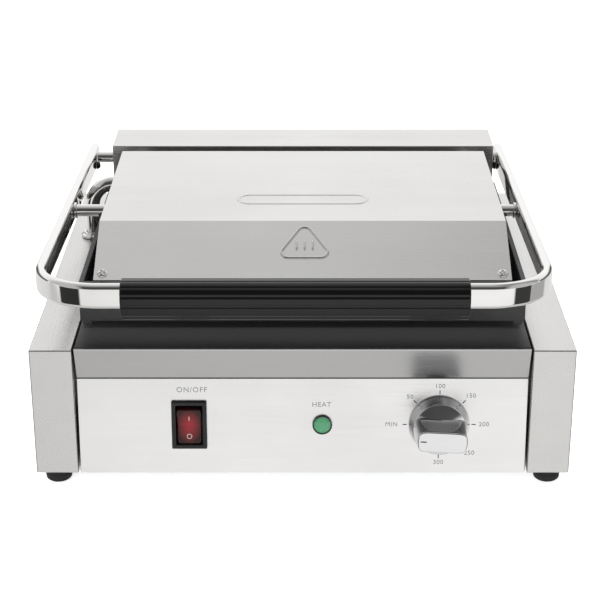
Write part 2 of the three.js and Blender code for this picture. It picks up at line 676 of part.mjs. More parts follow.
// ---- conduit for the top heater's wires ----------------------------------------------------
const conduitPath = new THREE.CurvePath();
const bendZ = conduitZ - conduitBend;
const bendHandle = conduitBend * 0.5523;
conduitPath.add(new THREE.LineCurve3(new THREE.Vector3(conduitX, conduitY, podTop - conduitReserve),
  new THREE.Vector3(conduitX, conduitY, bendZ)));
conduitPath.add(new THREE.CubicBezierCurve3(new THREE.Vector3(conduitX, conduitY, bendZ),
  new THREE.Vector3(conduitX, conduitY, bendZ + bendHandle),
  new THREE.Vector3(conduitX + conduitBend - bendHandle, conduitY, conduitZ),
  new THREE.Vector3(conduitX + conduitBend, conduitY, conduitZ)));
conduitPath.add(new THREE.LineCurve3(new THREE.Vector3(conduitX + conduitBend, conduitY, conduitZ),
  new THREE.Vector3(-lidHalfWidth + 8, conduitY, conduitZ)));
add(grill, 'conduit', wire(conduitPath, conduitRadius, 26, 16), 'polishedSteel');

const ferruleBore = conduitRadius + runGap;
const flange = turned([
  [ferruleBore, 0], [11, 0], [11, 2], [8.6, 3], [8.6, 4.5], [ferruleBore, 4.5], [ferruleBore, 0],
], 28);
flange.rotateX(Math.PI / 2).translate(conduitX, conduitY, podTop + touchGap);
add(grill, 'conduit_flange', flange, 'polishedSteel');
const ferrule = turned([
  [ferruleBore, 0], [9.5, 0], [9.5, 2], [8, 3.4], [ferruleBore, 3.4], [ferruleBore, 0],
], 28);
ferrule.rotateZ(Math.PI / 2).translate(-lidHalfWidth - touchGap, conduitY, conduitZ);
add(grill, 'conduit_ferrule', ferrule, 'polishedSteel');

export default grill;
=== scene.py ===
import json
import math
import bmesh
import bpy
import numpy as np
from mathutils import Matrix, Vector


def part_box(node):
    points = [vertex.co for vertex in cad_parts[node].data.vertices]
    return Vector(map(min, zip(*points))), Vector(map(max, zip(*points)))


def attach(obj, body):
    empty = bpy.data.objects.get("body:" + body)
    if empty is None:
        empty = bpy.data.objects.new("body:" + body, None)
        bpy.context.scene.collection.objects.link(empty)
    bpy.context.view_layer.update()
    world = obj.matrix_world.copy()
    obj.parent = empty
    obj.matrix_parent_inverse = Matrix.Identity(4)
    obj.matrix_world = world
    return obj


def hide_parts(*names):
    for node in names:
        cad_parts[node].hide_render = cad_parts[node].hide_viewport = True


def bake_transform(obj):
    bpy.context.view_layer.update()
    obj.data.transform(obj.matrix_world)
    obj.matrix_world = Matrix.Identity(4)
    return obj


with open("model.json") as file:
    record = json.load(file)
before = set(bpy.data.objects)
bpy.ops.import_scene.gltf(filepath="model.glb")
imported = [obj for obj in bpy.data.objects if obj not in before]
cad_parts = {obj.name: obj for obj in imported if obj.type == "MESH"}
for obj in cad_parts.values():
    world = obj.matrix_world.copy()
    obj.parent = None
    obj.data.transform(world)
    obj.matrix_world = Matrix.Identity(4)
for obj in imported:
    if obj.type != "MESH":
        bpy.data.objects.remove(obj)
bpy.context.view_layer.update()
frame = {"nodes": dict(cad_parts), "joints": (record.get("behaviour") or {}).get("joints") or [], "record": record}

mm = 0.001
bodyOf = {node: body for body, nodes in frame["record"]["behaviour"]["bodies"].items() for node in nodes}
slotOf = {row["node"]: row["material_slot"] for row in frame["record"]["subparts"]}
jointOf = {joint["name"]: joint for joint in frame["joints"]}
print("frame loaded")


def hexColour(code):  # sRGB hex to linear light, piecewise sRGB curve
    parts = [int(code[i:i + 2], 16) / 255 for i in (1, 3, 5)]
    return [p / 12.92 if p <= 0.04045 else ((p + 0.055) / 1.055) ** 2.4 for p in parts] + [1.0]


def link(tree, node, links):  # a link comes from a socket, or from a node's first output
    for key, source in links.items():
        socket = source if isinstance(source, bpy.types.NodeSocket) else source.outputs[0]
        tree.links.new(socket, node.inputs[key])


def addNode(tree, kind, settings=None, links=None):  # settings go by input or property name
    node = tree.nodes.new("ShaderNode" + kind)
    for key, value in (settings or {}).items():
        if isinstance(key, int) or key in node.inputs:
            node.inputs[key].default_value = value
        else:
            setattr(node, key, value)
    link(tree, node, links or {})
    return node


def setStops(ramp, stops):  # colour ramp from (place, grey) pairs
    elements = ramp.color_ramp.elements
    while len(elements) < len(stops):
        elements.new(0.5)
    for element, (place, grey) in zip(elements, stops):
        element.position = place
        element.color = (grey, grey, grey, 1)


def newMaterial(name, shader):  # a material with its principled shader set, and its object coordinates
    material = bpy.data.materials.new(name)
    material.use_nodes = True
    tree = material.node_tree
    tree.nodes.clear()
    principled = addNode(tree, "BsdfPrincipled", shader)
    addNode(tree, "OutputMaterial", links={"Surface": principled.outputs["BSDF"]})
    place = addNode(tree, "TexCoord").outputs["Object"]
    return material, tree, principled, place


def clothe(piece, material):
    piece.data.materials.clear()
    piece.data.materials.append(material)
    return piece


def meshPiece(name, points, faces, smooth=True):
    mesh = bpy.data.meshes.new(name)
    mesh.from_pydata(np.asarray(points, float).reshape(-1, 3).tolist(), [], faces)
    mesh.validate()
    piece = bpy.data.objects.new(name, mesh)
    bpy.context.scene.collection.objects.link(piece)
    tidy = bmesh.new()
    tidy.from_mesh(mesh)
    bmesh.ops.remove_doubles(tidy, verts=tidy.verts, dist=1e-6)
    bmesh.ops.recalc_face_normals(tidy, faces=tidy.faces)
    tidy.to_mesh(mesh)
    tidy.free()
    mesh.shade_smooth() if smooth else mesh.shade_flat()
    return piece


def gridFaces(rows, columns, wrapRows=False):  # quads between neighbours of a grid whose columns close up
    r = np.arange(rows if wrapRows else rows - 1)[:, None]
    c = np.arange(columns)[None, :]
    r2, c2 = (r + 1) % rows, (c + 1) % columns
    quads = np.stack([r * columns + c, r * columns + c2, r2 * columns + c2, r2 * columns + c], axis=-1)
    return quads.reshape(-1, 4).tolist()


def tubeFaces(rows, columns):  # a tube of rings with both ends capped
    last = (rows - 1) * columns
    caps = [list(range(columns))[::-1], list(range(last, last + columns))]
    return gridFaces(rows, columns) + caps


def tubePiece(name, points):
    return meshPiece(name, points, tubeFaces(*points.shape[:2]))


def filletOutline(corners, radii, steps=5):  # each corner of a closed outline rounded by an arc
    corners = np.asarray(corners, float)
    radii = np.broadcast_to(np.asarray(radii, float), len(corners))
    before = np.roll(corners, 1, axis=0) - corners
    after = np.roll(corners, -1, axis=0) - corners
    before /= np.linalg.norm(before, axis=1, keepdims=True)
    after /= np.linalg.norm(after, axis=1, keepdims=True)
    half = np.arccos(np.clip((before * after).sum(1), -1, 1)) / 2
    reach = radii / np.tan(half)  # from the corner to where the arc touches a side
    middle = before + after
    middle /= np.maximum(np.linalg.norm(middle, axis=1, keepdims=True), 1e-9)
    centre = corners + middle * (radii / np.sin(half))[:, None]
    first = corners + before * reach[:, None] - centre
    second = corners + after * reach[:, None] - centre
    t = np.linspace(0, 1, steps)[None, :, None]
    arc = first[:, None] * (1 - t) + second[:, None] * t
    length = np.linalg.norm(arc, axis=2, keepdims=True)
    arc = arc / np.maximum(length, 1e-12) * radii[:, None, None]
    return (centre[:, None] + arc).reshape(-1, 2)


def fullTurn(count):  # angles evenly round a circle
    return np.linspace(0, 2 * np.pi, count, endpoint=False)


def latheGrid(profile, origin, axis, side, segments):  # radius and height pairs turned about an axis
    profile = np.asarray(profile, float)
    axis, side = np.asarray(axis, float), np.asarray(side, float)
    third = np.cross(axis, side)
    turn = fullTurn(segments)
    ring = np.cos(turn)[:, None] * side + np.sin(turn)[:, None] * third
    return np.asarray(origin) + profile[:, 1][:, None, None] * axis + profile[:, 0][:, None, None] * ring


def lathePiece(name, profile, origin, axis, side, segments):
    return tubePiece(name, latheGrid(profile, origin, axis, side, segments))


def ringPiece(name, profile, origin, axis, side=(1, 0, 0), segments=48):  # the profile misses the axis
    points = latheGrid(profile, origin, axis, side, segments)
    return meshPiece(name, points, gridFaces(len(profile), segments, wrapRows=True))


def settle(piece, body, replaced=()):
    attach(piece, body)
    if replaced:
        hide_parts(*replaced)
    return piece


def softenedCopy(node, radius):
    # the CAD shell with its edges rounded: long thin faces, such as sheet rims, get a smaller rounding
    source = bpy.data.objects[node]
    mesh = bpy.data.meshes.new(node + "Skin")
    shape = bmesh.new()
    shape.from_mesh(source.data)
    bmesh.ops.remove_doubles(shape, verts=shape.verts, dist=2e-6)
    bmesh.ops.dissolve_limit(shape, angle_limit=math.radians(0.6), verts=shape.verts, edges=shape.edges)
    weight = shape.edges.layers.float.new("bevel_weight_edge")
    for edge in shape.edges:
        if len(edge.link_faces) == 2 and edge.calc_face_angle(0) > math.radians(14):
            widths = [2 * face.calc_area() / face.calc_perimeter() for face in edge.link_faces]
            edge[weight] = min(1.0, 0.42 * min(widths) / radius)
    shape.to_mesh(mesh)
    shape.free()
    piece = bpy.data.objects.new(node + "Skin", mesh)
    bpy.context.scene.collection.objects.link(piece)
    mesh.shade_smooth()
    bevel = piece.modifiers.new("edges", "BEVEL")
    bevel.width = radius
    bevel.segments = 3
    bevel.limit_method = "WEIGHT"
    bevel.use_clamp_overlap = True
    even = piece.modifiers.new("evenShading", "WEIGHTED_NORMAL")
    even.weight = 100
    return settle(piece, bodyOf[node], [node])


view = {"place": (1.8 * mm, -1276.5 * mm, 633.3 * mm), "pitch": 23.3, "lens": 97.2}
camera = bpy.data.objects.new("camera", bpy.data.cameras.new("camera"))
bpy.context.scene.collection.objects.link(camera)
camera.location = view["place"]
camera.rotation_euler = (math.radians(90 - view["pitch"]), 0, 0)
camera.data.lens = view["lens"]
camera.data.sensor_width = 36
bpy.context.scene.camera = camera
bpy.context.scene.view_settings.view_transform = "Standard"

print("camera set")

# The studio as polished steel sees it. "sweep": grey against the angle that runs from the floor in front
# (negative) over the horizon in front (0) and overhead (90) to the back wall (180).
# "patches": a grey, and the fades whose product says how much of it shows. A fade is a quantity, where it
# is nothing, where it is full, and its strength if that isn't 1. x, y and z are the direction's parts, aside
# is x without its sign, rise is the sweep's angle and turn the angle to the right of straight ahead.
studio = {
    "sweep": [(-180, 0.90), (-120, 0.80), (-90, 0.62), (-66, 0.66), (-45, 0.92), (-18, 1.07), (-6, 1.0),
              (0, 0.09), (38, 0.06), (60, 0.26), (84, 0.62), (106, 0.84), (135, 1.0), (158, 1.12),
              (180, 1.08)],
    "patches": [
        # dark screens beside the camera, the right one paler at its far end
        (0.04, [("turn", -73.7, -70.3), ("turn", -33.3, -36.7), ("z", -0.60, -0.56), ("z", -0.09, -0.13)]),
        (0.05, [("turn", 45.3, 48.7), ("turn", 81.7, 78.3), ("z", -0.60, -0.56), ("z", -0.09, -0.13)]),
        (0.45, [("turn", 78.3, 81.7), ("turn", 117.7, 114.3), ("z", -0.60, -0.56), ("z", -0.09, -0.13)]),
        # the band overhead is brightest in the middle
        (0.0, [("x", 0.0, -0.30, 0.22), ("rise", 68, 82), ("rise", 128, 112)]),
        (0.0, [("x", 0.0, 0.30, 0.62), ("rise", 68, 82), ("rise", 128, 112)]),
        # the front falls off to the left
        (0.0, [("x", -0.04, -0.16), ("y", -0.3, -0.5, 0.13)]),
        # the back wall ends; low down beyond it the room is dark
        (0.12, [("aside", 0.34, 0.44), ("y", 0.1, 0.2), ("z", 0.35, 0.2), ("z", -0.12, -0.04)]),
        # the room's side walls, past the dark front
        (0.55, [("aside", 0.45, 0.62), ("y", 0.1, -0.02), ("z", -0.03, 0.03)]),
    ],
}


def makeStudio(studio):
    world = bpy.data.worlds.new("studio")
    bpy.context.scene.world = world
    world.use_nodes = True
    tree = world.node_tree
    tree.nodes.clear()
    axes = addNode(tree, "SeparateXYZ", links={0: addNode(tree, "TexCoord").outputs["Generated"]}).outputs
    forward = addNode(tree, "Math", {"operation": "MULTIPLY", 1: -1.0}, {0: axes["Y"]})
    source = {"x": axes["X"], "y": axes["Y"], "z": axes["Z"],
              "aside": addNode(tree, "Math", {"operation": "ABSOLUTE"}, {0: axes["X"]}),
              "rise": addNode(tree, "Math", {"operation": "ARCTAN2"}, {0: axes["Z"], 1: forward}),
              "turn": addNode(tree, "Math", {"operation": "ARCTAN2"}, {0: axes["X"], 1: forward})}
    place = addNode(tree, "MapRange", {"From Min": -math.pi, "From Max": math.pi}, {"Value": source["rise"]})
    ramp = addNode(tree, "ValToRGB", links={"Fac": place})
    setStops(ramp, [((angle + 180) / 360, grey) for angle, grey in studio["sweep"]])
    colour = ramp
    for grey, fades in studio["patches"]:
        share = None
        for quantity, start, full, *strength in fades:
            unit = math.radians(1) if quantity in ("rise", "turn") else 1
            fade = addNode(tree, "MapRange", {"From Min": start * unit, "From Max": full * unit,
                                              "To Max": strength[0] if strength else 1.0},
                           {"Value": source[quantity]})
            share = addNode(tree, "Math", {"operation": "MULTIPLY"}, {0: share, 1: fade}) if share else fade
        colour = addNode(tree, "Mix", {"data_type": "RGBA", 7: (grey, grey, grey, 1)},
                         {0: share, 6: colour}).outputs[2]
    seen = addNode(tree, "LightPath").outputs["Is Camera Ray"]  # the camera itself sees plain white
    colour = addNode(tree, "Mix", {"data_type": "RGBA", 7: (1, 1, 1, 1)}, {0: seen, 6: colour}).outputs[2]
    light = addNode(tree, "Background", links={"Color": colour})
    addNode(tree, "OutputWorld", links={"Surface": light})


def addSoftbox(name, place, target, width, depth, power):
    lamp = bpy.data.lights.new(name, "AREA")
    lamp.shape = "RECTANGLE"
    lamp.size, lamp.size_y, lamp.energy = width, depth, power
    box = bpy.data.objects.new(name, lamp)
    bpy.context.scene.collection.objects.link(box)
    box.location = place
    box.rotation_euler = (Vector(target) - Vector(place)).to_track_quat("-Z", "Y").to_euler()
    box.visible_glossy = False  # the studio sweep is what the steel mirrors


makeStudio(studio)
addSoftbox("overheadSoftbox", (0, 0.1, 1.6), (0, 0, 0), 2.4, 2.2, 34)
addSoftbox("frontFill", (-0.4, -1.9, 0.7), (0, -0.1, 0.02), 2.4, 1.2, 34)

floor = meshPiece("floor", [(-6, -6, 0), (6, -6, 0), (6, 6, 0), (-6, 6, 0)], [[0, 1, 2, 3]], smooth=False)
floorPaint = newMaterial("matteFloor", {"Base Color": hexColour("#fafafa"), "Roughness": 0.9,
                                        "Specular IOR Level": 0.1, "Emission Strength": 0.6,
                                        "Emission Color": hexColour("#ffffff")})[0]
clothe(floor, floorPaint)
floor.visible_glossy = False
print("studio set")


def spread(low, high, start=0.3, end=0.7):  # settings of a map range that turns noise into a wanted range
    return {"From Min": start, "From Max": end, "To Min": low, "To Max": high}


def grainScale(along, lengthMm, acrossMm):  # a streak is lengthMm long and acrossMm wide
    scale = [1 / (acrossMm * mm)] * 3
    scale["xyz".index(along)] = 1 / (lengthMm * mm)
    return {"Scale": scale}


def satinStainless(name, along, tint="#dedddb", rough=0.27, streak=0.05):
    # 304 sheet, fine belt-brushed along the grain: a soft, even glow with faint long streaks.
    # The real scratches are under 0.1 mm; they are drawn about 0.7 mm wide so that they show.
    material, tree, steel, place = newMaterial(name, {"Metallic": 1.0, "Anisotropic": 0.3})
    fineGrain = addNode(tree, "Mapping", grainScale(along, 55, 0.7), {"Vector": place})
    fine = addNode(tree, "TexNoise", {"Scale": 1.0, "Detail": 3.0, "Roughness": 0.6}, {"Vector": fineGrain})
    broadGrain = addNode(tree, "Mapping", grainScale(along, 160, 22), {"Vector": place})
    broad = addNode(tree, "TexNoise", {"Scale": 1.0, "Detail": 2.0}, {"Vector": broadGrain})
    handled = addNode(tree, "TexNoise", {"Scale": 16.0, "Detail": 3.0}, {"Vector": place})
    colour = hexColour(tint)
    dull = [c * (1 - streak) for c in colour[:3]] + [1]
    share = addNode(tree, "MapRange", spread(0.35, 1.0), {"Value": fine})
    streaked = addNode(tree, "Mix", {"data_type": "RGBA", 6: dull, 7: colour}, {0: share}).outputs[2]
    shade = addNode(tree, "MapRange", spread(0.972, 1.0), {"Value": broad})
    shaded = addNode(tree, "Mix", {"data_type": "RGBA", "blend_type": "MULTIPLY", 0: 1.0},
                     {6: streaked, 7: shade}).outputs[2]
    grain = addNode(tree, "MapRange", spread(rough - 0.03, rough + 0.04), {"Value": fine})
    smear = addNode(tree, "MapRange", spread(-0.015, 0.03), {"Value": handled})
    total = addNode(tree, "Math", {"operation": "ADD"}, {0: grain, 1: smear})
    bump = addNode(tree, "Bump", {"Strength": 0.011, "Distance": 0.00004}, {"Height": fine})
    link(tree, steel, {"Base Color": shaded, "Roughness": total, "Normal": bump})
    return material


def polishedStainless(name, tint="#e9e8e6", rough=0.03):
    # buffed bar and tube: a near mirror with faint polishing haze in soft patches
    material, tree, steel, place = newMaterial(name, {"Metallic": 1.0, "Base Color": hexColour(tint)})
    haze = addNode(tree, "TexNoise", {"Scale": 60.0, "Detail": 4.0}, {"Vector": place})
    dulling = addNode(tree, "MapRange", spread(rough * 0.6, rough * 1.8), {"Value": haze})
    wave = addNode(tree, "TexNoise", {"Scale": 25.0, "Detail": 1.0}, {"Vector": place})
    bump = addNode(tree, "Bump", {"Strength": 0.05, "Distance": 0.0003}, {"Height": wave})
    link(tree, steel, {"Roughness": dulling, "Normal": bump})
    return material


def seasonedIron(name, tint="#1f1f20", rough=0.36, grainMm=0.8, depth=0.25, paintedReflection=None):
    # machined and seasoned cast iron: near black, a dull oily sheen over a fine pebbled skin; a painted reflection
    # turns it greyer towards the back, between the two distances back that the last argument gives, in its grey
    material, tree, iron, place = newMaterial(name, {"Metallic": 0.0, "Specular IOR Level": 0.3})
    skin = addNode(tree, "TexNoise", {"Scale": 1 / (grainMm * mm), "Detail": 3.0}, {"Vector": place})
    stain = addNode(tree, "TexNoise", {"Scale": 22.0, "Detail": 5.0, "Roughness": 0.65}, {"Vector": place})
    base = hexColour(tint)
    dark = [c * 0.62 for c in base[:3]] + [1]
    share = addNode(tree, "MapRange", spread(0.0, 1.0), {"Value": stain})
    colour = addNode(tree, "Mix", {"data_type": "RGBA", 6: dark, 7: base}, {0: share}).outputs[2]
    # painted reflection: the colour turns to the given grey towards the back
    if paintedReflection:
        back = addNode(tree, "SeparateXYZ", links={0: place}).outputs["Y"]
        reflectionShare = addNode(tree, "MapRange", {"From Min": paintedReflection[0], "From Max": paintedReflection[1]}, {"Value": back})
        colour = addNode(tree, "Mix", {"data_type": "RGBA", 7: hexColour(paintedReflection[2])},
                         {0: reflectionShare, 6: colour}).outputs[2]
    sheen = addNode(tree, "MapRange", spread(rough + 0.10, rough - 0.04), {"Value": stain})
    bump = addNode(tree, "Bump", {"Strength": depth, "Distance": 0.00012}, {"Height": skin})
    link(tree, iron, {"Base Color": colour, "Roughness": sheen, "Normal": bump})
    return material


def mouldedPlastic(name, tint, rough=0.3, grainMm=0.5, depth=0.12, extra=None):
    # injection moulded: even colour, a fine spark-eroded grain that breaks up the gloss
    settings = {"Base Color": hexColour(tint), "IOR": 1.5}
    settings.update(extra or {})
    material, tree, plastic, place = newMaterial(name, settings)
    grain = addNode(tree, "TexNoise", {"Scale": 1 / (grainMm * mm), "Detail": 2.0}, {"Vector": place})
    wear = addNode(tree, "TexNoise", {"Scale": 45.0, "Detail": 4.0}, {"Vector": place})
    gloss = addNode(tree, "MapRange", spread(rough * 0.8, rough * 1.25), {"Value": wear})
    bump = addNode(tree, "Bump", {"Strength": depth, "Distance": 0.00006}, {"Height": grain})
    link(tree, plastic, {"Roughness": gloss, "Normal": bump})
    return material


def spangledZinc(name):
    # hot-dipped sheet: flat grey crystals a few millimetres across, each a little different
    material, tree, zinc, place = newMaterial(name, {"Metallic": 1.0})
    crystals = addNode(tree, "TexVoronoi", {"Scale": 1 / (7 * mm)}, {"Vector": place}).outputs["Color"]
    grey = addNode(tree, "SeparateColor", links={0: crystals})
    colour = addNode(tree, "Mix", {"data_type": "RGBA", 6: hexColour("#8f9496"), 7: hexColour("#b4b8b9")},
                     {0: grey}).outputs[2]
    sheen = addNode(tree, "MapRange", spread(0.34, 0.52, 0, 1), {"Value": grey})
    link(tree, zinc, {"Base Color": colour, "Roughness": sheen})
    return material


def blotchy(name, light, dark, rough, scaleMm, metallic=0.0, depth=0.3):
    # wool, ceramic, heater sheath and copper: two tones in soft blotches over a matt surface
    material, tree, skin, place = newMaterial(name, {"Metallic": metallic, "Roughness": rough})
    spots = addNode(tree, "TexNoise", {"Scale": 1 / (scaleMm * mm), "Detail": 5.0, "Roughness": 0.7},
                    {"Vector": place})
    share = addNode(tree, "MapRange", spread(0.0, 1.0), {"Value": spots})
    colour = addNode(tree, "Mix", {"data_type": "RGBA", 6: hexColour(dark), 7: hexColour(light)},
                     {0: share}).outputs[2]
    bump = addNode(tree, "Bump", {"Strength": depth, "Distance": 0.0003}, {"Height": spots})
    link(tree, skin, {"Base Color": colour, "Normal": bump})
    return material


def glowPaintedRocker(name, reach=(0.0115, 1, 0.0175)):
    # red translucent moulding with painted light: a painted glow in the middle that darkens to brown at the
    # rims as painted shade; reach is the painted glow's half width and half height, in metres
    gloss = {"Roughness": 0.22, "IOR": 1.55, "Specular IOR Level": 0.3}
    material, tree, lens, place = newMaterial(name, gloss)
    low, high = (np.array(v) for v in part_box("switch_rocker"))
    middle = (low + high) / 2
    centred = addNode(tree, "Mapping", {"Location": tuple(-middle / reach * (1, 0, 1)),
                                        "Scale": (1 / reach[0], 0, 1 / reach[2])}, {"Vector": place})
    far = addNode(tree, "VectorMath", {"operation": "LENGTH"}, {0: centred}).outputs["Value"]
    share = addNode(tree, "MapRange", spread(0.0, 1.0, 0.15, 0.85), {"Value": far})
    # painted glow in the middle, painted shade at the rims
    colour = addNode(tree, "Mix", {"data_type": "RGBA", 6: hexColour("#741b20"), 7: hexColour("#200b0b")},
                     {0: share}).outputs[2]
    link(tree, lens, {"Base Color": colour})
    return material


finishes = {
    "brushedX": satinStainless("brushedStainlessAcross", "x"),
    "brushedY": satinStainless("brushedStainlessLengthwise", "y", "#d8d7d5"),
    "panel": satinStainless("platedPanelStainless", "x", "#f6f5f4", 0.30, 0.03),
    # painted shade: the drip tray band is tinted darker than the other sheet, for the shade and dark reflections
    # it takes
    "band": satinStainless("brightAnnealedStainless", "x", "#cfcecd", 0.23, 0.04),
    # painted shade: the beads, pressed in the cover's own sheet, are tinted darker than it so that their relief
    # shows
    "bead": satinStainless("pressedStainless", "x", "#d4d3d1", 0.15, 0.04),
    "mirror": polishedStainless("buffedStainless"),
    # painted reflection: the bottom plate is greyer towards its back
    "iron": seasonedIron("seasonedCastIron", "#1d1d1e", 0.42, paintedReflection=(-0.158, -0.118, "#4a4a4a")),
    "ironRough": seasonedIron("sandCastIron", "#3a3a3b", 0.45, 1.2, 0.4),
    "grip": mouldedPlastic("glossPhenolic", "#080809", 0.13, 0.6, 0.03, {"Specular IOR Level": 0.36}),
    "black": mouldedPlastic("blackNylon", "#0d0d0e", 0.4),
    "rubber": mouldedPlastic("mouldedRubber", "#1b1b1b", 0.75, 0.8, 0.3),
    "green": mouldedPlastic("greenPolycarbonate", "#478a63", 0.2, 2.0, 0.02,
                            {"Transmission Weight": 0.2, "Coat Weight": 0.2}),
    "bezel": mouldedPlastic("greyNylon", "#2b2d2c", 0.35),
    "rocker": glowPaintedRocker("redPolycarbonatePaintedGlow"),
    "knob": polishedStainless("vacuumMetallisedPlastic", "#dfdfe0", 0.07),
    "ink": mouldedPlastic("silkscreenInk", "#6e6f70", 0.6),
    "whiteInk": mouldedPlastic("whitePadPrint", "#9c8583", 0.6),
    "darkInk": mouldedPlastic("blackPadPrint", "#1c1c1c", 0.6),
    "zinc": spangledZinc("galvanisedSheet"),
    "heater": blotchy("scaledHeaterSheath", "#6b5f55", "#3a3532", 0.45, 6, 0.9),
    "spring": blotchy("oiledSpringSteel", "#8f9296", "#5c5f63", 0.3, 9, 1.0, 0.1),
    "wool": blotchy("pressedMineralWool", "#b9aa84", "#8a7d5e", 0.95, 2, 0.0, 0.9),
    "ceramic": blotchy("glazedSteatite", "#e9e3d4", "#d4ccba", 0.35, 5, 0.0, 0.1),
    "copper": blotchy("drawnCopper", "#c27a4e", "#8d4e30", 0.3, 5, 1.0, 0.1),
}
slotFinish = {
    "brushed_steel": "brushedX", "polished_steel": "mirror", "tray_steel": "band", "cast_iron": "iron",
    "galvanised": "zinc", "black_plastic": "black", "grip_black": "grip", "rubber": "rubber",
    "red_lens": "rocker", "green_lens": "green", "knob_silver": "knob", "heater": "heater",
    "spring_steel": "spring", "mineral_wool": "wool", "ceramic": "ceramic", "copper": "copper",
}
for node, piece in frame["nodes"].items():
    clothe(piece, finishes[slotFinish[slotOf[node]]])
print("materials made")

shells = {  # node: fold radius in mm, finish
    "side_pod_left": (1.1, "brushedY"), "side_pod_right": (1.1, "brushedY"),
    "front_panel": (0.8, "panel"), "rear_housing": (1.2, "brushedX"), "lid_cover": (1.2, "brushedX"),
    "drip_tray": (0.7, "band"), "back_panel": (0.4, "brushedX"), "rear_splash_strip": (0.5, "brushedX"),
    "base_pan": (0.6, "zinc"), "heat_shield": (0.6, "zinc"),
    "lower_plate": (0.9, "iron"), "upper_plate": (1.3, "ironRough"),
    "hinge_bracket_left": (0.6, "zinc"), "hinge_bracket_right": (0.6, "zinc"),
    "switch_housing": (0.7, "black"),
    "thermostat_body": (0.8, "ceramic"), "terminal_block": (0.8, "ceramic"), "lid_insulation": (3.0, "wool"),
}
for node, (radius, finish) in shells.items():
    clothe(softenedCopy(node, radius * mm), finishes[finish])
print("shells rounded")


def sweepPiece(name, path, across, up, outline):
    # a flat outline carried along a path: path point + outline x times across + outline y times up
    across, up = np.broadcast_to(across, path.shape), np.broadcast_to(up, path.shape)
    points = path[:, None] + outline[:, :1] * across[:, None] + outline[:, 1:] * up[:, None]
    return tubePiece(name, points)


border = {"front": -125.4, "back": -121.0, "bottom": 123.75, "top": 126.2, "edge": 0.9}


def makePlateBorder(border):  # plain strip of the top casting that closes the front ends of its ribs
    low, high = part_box("upper_plate")
    x = np.linspace(low[0] + 1.3 * mm, high[0] - 1.3 * mm, 12)
    path = np.stack([x, 0 * x, 0 * x], axis=1)
    corners = [(border["front"], border["bottom"]), (border["back"], border["bottom"]),
               (border["back"], border["top"]), (border["front"], border["top"])]
    outline = filletOutline(corners, border["edge"]) * mm
    return sweepPiece("upperPlateBorder", path, (0, 1, 0), (0, 0, 1), outline)


def sharpen(piece, degrees=32):  # corners steeper than this stay crisp, the rest is shaded smooth
    piece.data.set_sharp_from_angle(angle=math.radians(degrees))
    return piece


def standIn(piece, node, finish, degrees=32):  # the piece takes the CAD node's place on its body
    settle(piece, bodyOf[node], [node])
    return clothe(sharpen(piece, degrees), finishes[finish])


clothe(sharpen(settle(makePlateBorder(border), "lid")), finishes["ironRough"])
hinge = np.array(jointOf["lift_hinge"]["pos_m"])
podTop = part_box("side_pod_left")[1][2]
zAxis = np.array([0.0, 0.0, 1.0])
xAxis = np.array([1.0, 0.0, 0.0])

handle = {"thickness": 8, "height": 19, "edge": 3.7, "corner": 50, "slope": 0.046, "front": -193.5,
          "tail": 20, "rise": 39.4, "steps": 40}


def handleToFrame(x, y, z):  # the handle's own plane, leant about the hinge line, higher in front
    s = handle["slope"]
    return np.stack([x, hinge[1] + y * math.cos(s) + z * math.sin(s),
                     podTop + handle["rise"] * mm - y * math.sin(s) + z * math.cos(s)], axis=-1)


def makeHandleBar(handle):
    # centre line in plan: up one arm, a quarter circle, across the front, a quarter circle, down the other
    # arm; the section is a bar with rounded edges, narrowed to a half circle in plan at each arm's end
    low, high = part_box("handle_bar")
    half = handle["thickness"] / 2 * mm
    radius = handle["corner"] * mm - half
    left, right = low[0] + half, high[0] - half
    nose = (handle["front"] * mm - hinge[1]) / math.cos(handle["slope"]) + half
    tail = handle["tail"] * mm
    fade = half * (1 - np.cos(np.linspace(0, np.pi / 2, 7)))
    fade[0] = half * 0.004
    side = np.linspace(half * 1.5, tail - nose - radius, 14)
    runY = tail - np.concatenate([fade, side])
    turn = np.linspace(0, np.pi / 2, handle["steps"])[1:]
    across = np.linspace(left + radius, right - radius, 16)[1:-1]
    leftX = np.concatenate([np.full(runY.shape, left), left + radius - radius * np.cos(turn)])
    leftY = np.concatenate([runY, nose + radius - radius * np.sin(turn)])
    rightX = (right - (leftX - left))[::-1]
    x = np.concatenate([leftX, across, rightX])
    y = np.concatenate([leftY, np.full(across.shape, nose), leftY[::-1]])
    dx, dy = np.gradient(x), np.gradient(y)
    length = np.hypot(dx, dy)
    outX, outY = dy / length, -dx / length
    reach = np.minimum(np.arange(len(x)), np.arange(len(x))[::-1])
    ends = np.concatenate([fade, [half * 9]])[np.minimum(reach, len(fade))]
    width = np.sqrt(np.clip(1 - (1 - np.minimum(ends, half) / half) ** 2, 1e-6, 1))
    tall = handle["height"] / 2 * mm
    section = filletOutline([(-half, -tall), (half, -tall), (half, tall), (-half, tall)],
                            handle["edge"] * mm, 8)
    off = section[None, :, 0] * width[:, None]
    points = handleToFrame(x[:, None] + off * outX[:, None], y[:, None] + off * outY[:, None],
                           np.broadcast_to(section[None, :, 1], off.shape))
    return tubePiece("handleBar", points)


clothe(settle(makeHandleBar(handle), "handle_frame", ["handle_bar"]), finishes["mirror"])

grip = {"half": 12.1, "keel": 1.43, "squareness": 2.7, "flutes": 12, "firstFlute": 14, "fluteDepth": 0.5,
        "fluteWidth": 4.2, "rim": 1.0, "clearance": 0.4}


